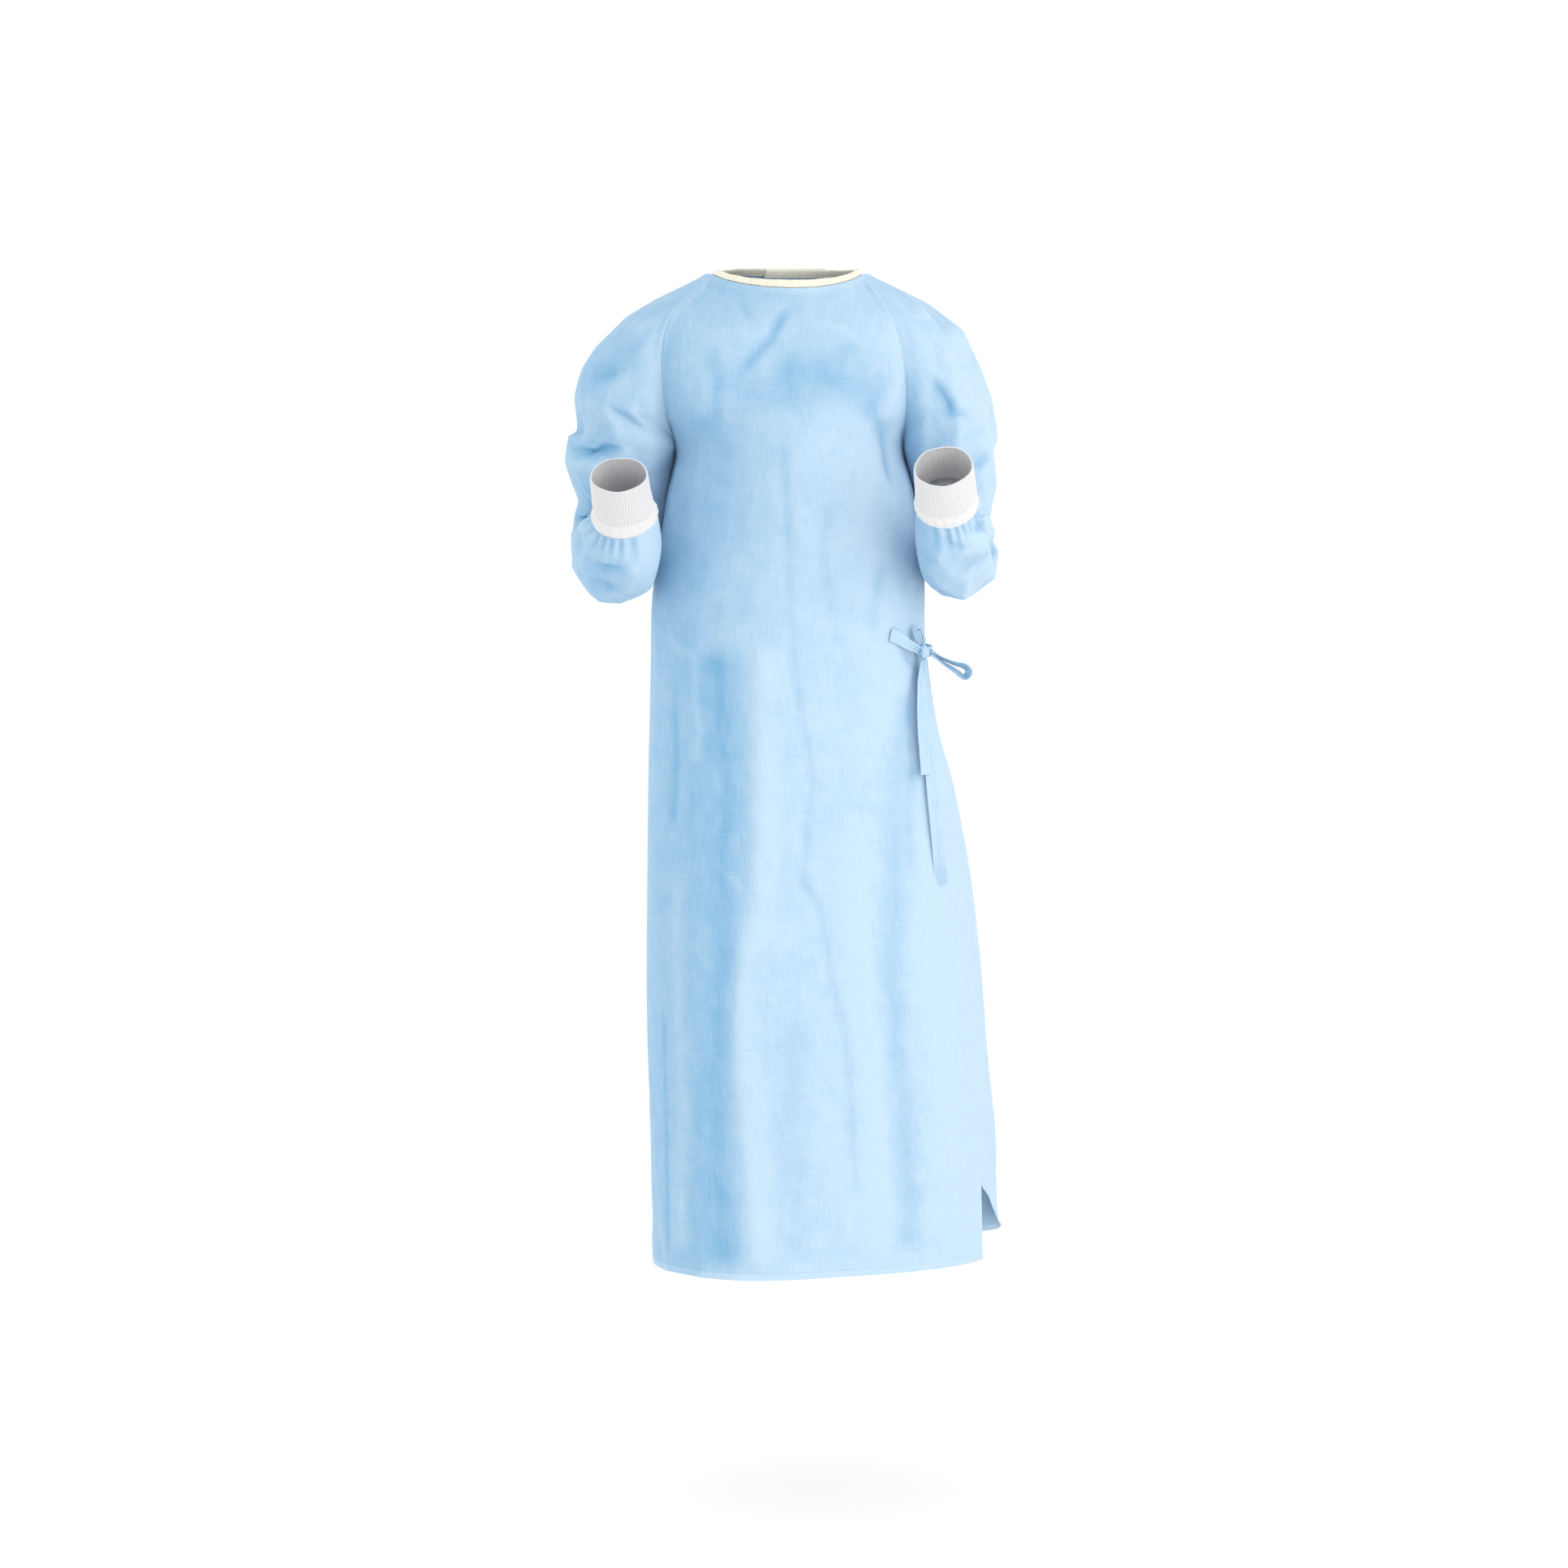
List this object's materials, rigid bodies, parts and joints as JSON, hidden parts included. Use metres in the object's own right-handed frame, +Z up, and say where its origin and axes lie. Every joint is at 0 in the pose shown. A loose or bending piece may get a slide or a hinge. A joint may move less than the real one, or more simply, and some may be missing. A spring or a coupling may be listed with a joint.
{
  "type": "surgical gown",
  "caption": "Wrap-around surgical gown with raglan sleeves, knit cuffs, a bound neck and a side-tied belt, in its worn shape.",
  "frame": {"origin": "middle of the neck opening, where the wearer's neck and shoulders carry the gown", "axes": "+Z up along the gown's length, -Y towards its front, +X towards the wearer's left"},
  "size_m": [0.5261, 0.3977, 1.1842],
  "materials": {
    "gown_cloth": "matt light blue non-woven cloth",
    "rib_knit": "white rib knit",
    "binding_tape": "cream non-woven tape",
    "hook_tab": "white hook-and-loop tape",
    "ribbon_cloth": "folded light blue non-woven ribbon"
  },
  "bodies": {
    "root": {"front_panel": "gown_cloth", "back_panel_left": "gown_cloth", "back_flap_right": "gown_cloth", "sleeve_left": "gown_cloth", "sleeve_right": "gown_cloth", "cuff_left": "rib_knit", "cuff_right": "rib_knit", "neck_binding": "binding_tape", "neck_tab": "hook_tab", "tie_front": "ribbon_cloth", "tie_back": "ribbon_cloth", "belt_knot": "ribbon_cloth", "belt_bow_loop": "ribbon_cloth", "belt_ear_loop": "ribbon_cloth", "belt_end_long": "ribbon_cloth", "belt_end_short": "ribbon_cloth"}
  },
  "joints": []
}
